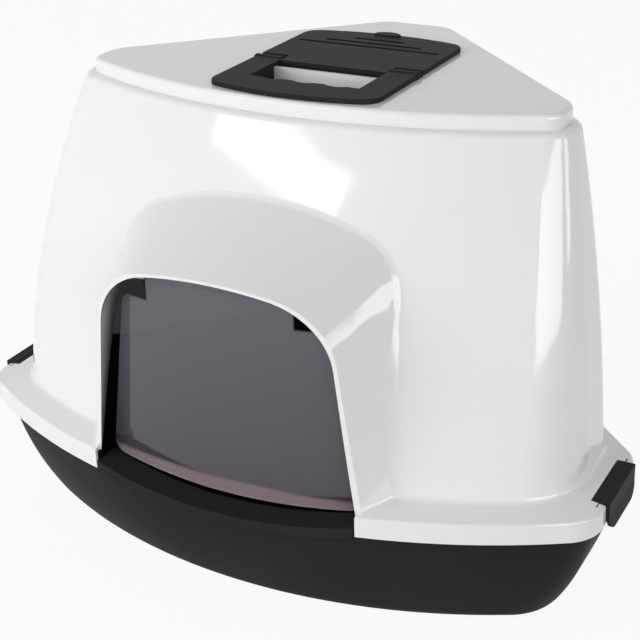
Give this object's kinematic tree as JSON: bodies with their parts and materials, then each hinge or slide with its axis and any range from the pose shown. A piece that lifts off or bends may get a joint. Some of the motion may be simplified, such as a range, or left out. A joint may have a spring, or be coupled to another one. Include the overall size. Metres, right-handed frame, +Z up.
{
  "type": "corner cat litter box with hood",
  "caption": "Corner litter tray with a white clip-on hood, bowed front, arched porch with smoked swing flap, folding carry handle, slotted vent cover and side latches.",
  "frame": {"origin": "on the floor, in the middle of the box's width and depth", "axes": "+Z up, -Y out of the doorway, +Y to the blunt back corner, +X across the width"},
  "size_m": [0.581, 0.43, 0.4055],
  "materials": {
    "charcoal_plastic": "satin moulded polypropylene",
    "white_plastic": "glossy moulded polypropylene",
    "smoked_plastic": "clear glossy smoked sheet",
    "black_plastic": "fine grained moulded plastic",
    "carbon_felt": "carbon felt"
  },
  "bodies": {
    "base": {"base_pan": "charcoal_plastic"},
    "hood": {"hood": "white_plastic", "door_hinge_rod": "black_plastic", "top_hinge_rod": "black_plastic", "carbon_filter": "carbon_felt", "latch_pin_right": "black_plastic", "latch_pin_left": "black_plastic"},
    "door": {"door_flap": "smoked_plastic"},
    "handle": {"carry_handle": "black_plastic"},
    "cover": {"vent_cover": "black_plastic"},
    "right_latch": {"latch_right": "black_plastic"},
    "left_latch": {"latch_left": "black_plastic"}
  },
  "joints": [
    {"name": "hood_lift", "type": "slide", "parent": "base", "child": "hood", "axis": [0, 0, 1], "range_m": [0, 0.3]},
    {"name": "door_swing", "type": "hinge", "parent": "hood", "child": "door", "pos_m": [0, -0.188, 0.285], "axis": [1, 0, 0], "range_deg": [-60, 75]},
    {"name": "handle_lift", "type": "hinge", "parent": "hood", "child": "handle", "pos_m": [0, 0.015, 0.397], "axis": [-1, 0, 0], "range_deg": [0, 60]},
    {"name": "cover_lift", "type": "hinge", "parent": "hood", "child": "cover", "pos_m": [0, 0.015, 0.397], "axis": [1, 0, 0], "range_deg": [0, 40]},
    {"name": "right_latch_swing", "type": "hinge", "parent": "hood", "child": "right_latch", "pos_m": [0.28, -0.071, 0.1185], "axis": [0, -1, 0], "range_deg": [0, 80]},
    {"name": "left_latch_swing", "type": "hinge", "parent": "hood", "child": "left_latch", "pos_m": [-0.28, -0.071, 0.1185], "axis": [0, 1, 0], "range_deg": [0, 80]}
  ]
}
